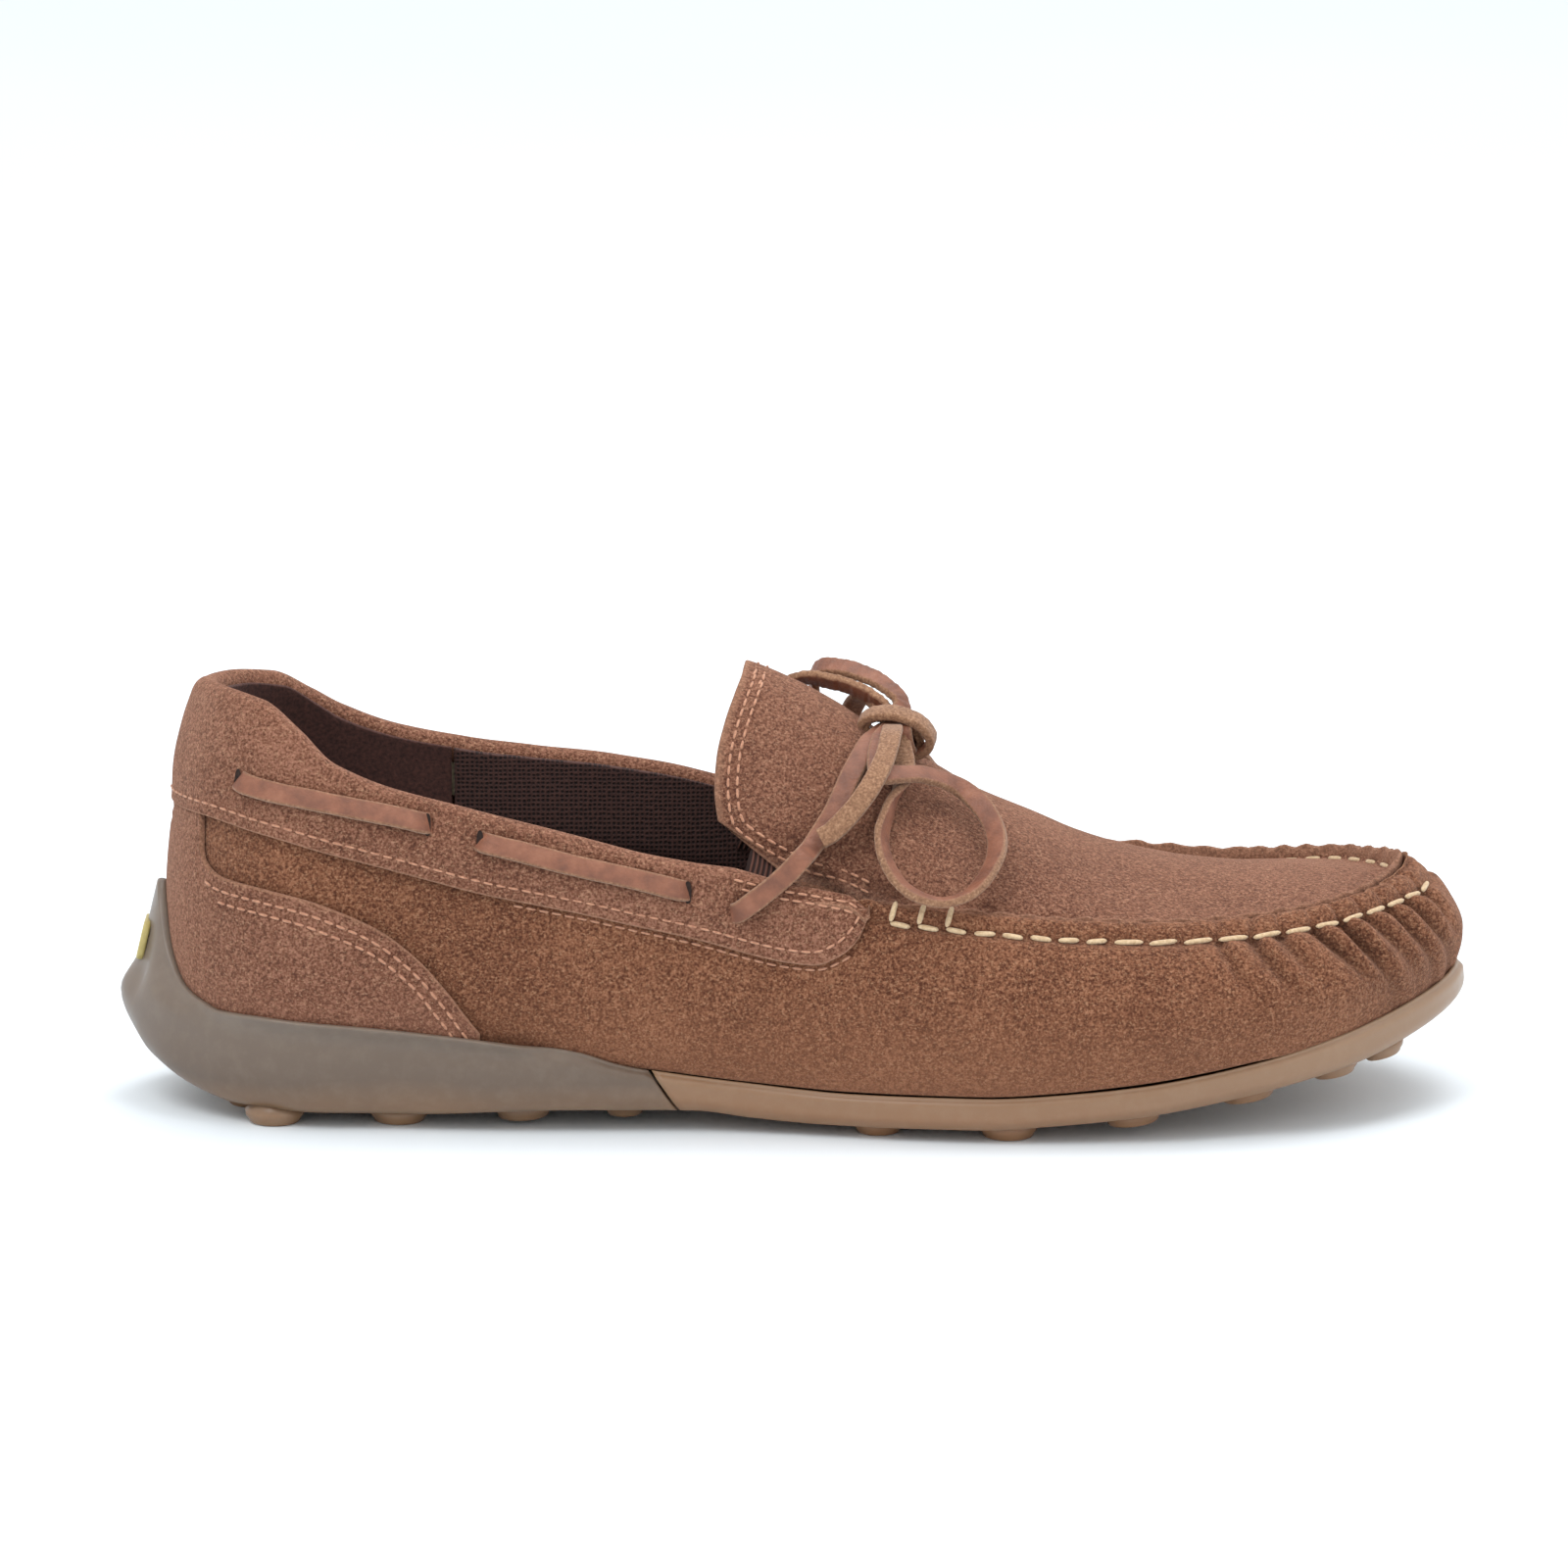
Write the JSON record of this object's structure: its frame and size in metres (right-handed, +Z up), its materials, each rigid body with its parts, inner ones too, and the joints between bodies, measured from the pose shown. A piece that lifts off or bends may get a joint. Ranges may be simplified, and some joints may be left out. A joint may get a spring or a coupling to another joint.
{
  "type": "driving moccasin",
  "caption": "Low suede driving moccasin for the right foot with a sewn apron, leather thong lace tied in a bow, padded collar and a two-unit podded rubber cup sole.",
  "frame": {"origin": "on the ground, under the centre of the shoe's bounding box", "axes": "+X towards the toe, +Y towards the inner (medial) side of the foot, +Z up"},
  "size_m": [0.2958, 0.104, 0.0965],
  "materials": {
    "gum_forefoot": "satin, slightly translucent gum",
    "gum_heel": "satin, slightly translucent gum",
    "badge": "satin",
    "suede": "napped suede",
    "suede_overlay": "napped suede",
    "stiffener_board": "matte fibreboard",
    "foam": "matte open-cell foam",
    "lace_leather": "smooth grain face, suede back",
    "heel_lining": "brushed",
    "mesh_lining": "knitted spacer mesh",
    "sock_leather": "matte",
    "elastic": "ribbed elastic",
    "seam_thread": "waxed cord"
  },
  "bodies": {
    "shoe": {"outsole_forefoot": "gum_forefoot", "outsole_heel": "gum_heel", "heel_badge": "badge", "moccasin_wrap": "suede", "apron": "suede", "heel_counter_cover": "suede_overlay", "collar_band": "suede_overlay", "heel_stiffener": "stiffener_board", "collar_foam": "foam", "insole_foam": "foam", "lace_collar": "lace_leather", "lace_standing_lateral": "lace_leather", "lace_standing_medial": "lace_leather", "lining_heel": "heel_lining", "lining_quarter_lateral": "mesh_lining", "lining_quarter_medial": "mesh_lining", "lining_vamp": "mesh_lining", "sock_liner": "sock_leather", "gore_lateral": "elastic", "gore_medial": "elastic", "apron_thread": "seam_thread"},
    "tongue": {"tongue": "suede", "bow_knot": "lace_leather", "bow_loop_lateral": "lace_leather", "bow_loop_medial": "lace_leather", "lace_end_lateral": "lace_leather", "lace_end_medial": "lace_leather"}
  },
  "joints": [
    {"name": "tongue_lift", "type": "hinge", "parent": "shoe", "child": "tongue", "pos_m": [0.0272, 0, 0.076], "axis": [0, 1, 0], "range_deg": [0, 7], "stiffness_Nm_per_rad": 0.06, "deforming": ["gore_lateral", "gore_medial", "lace_standing_lateral", "lace_standing_medial"]}
  ]
}
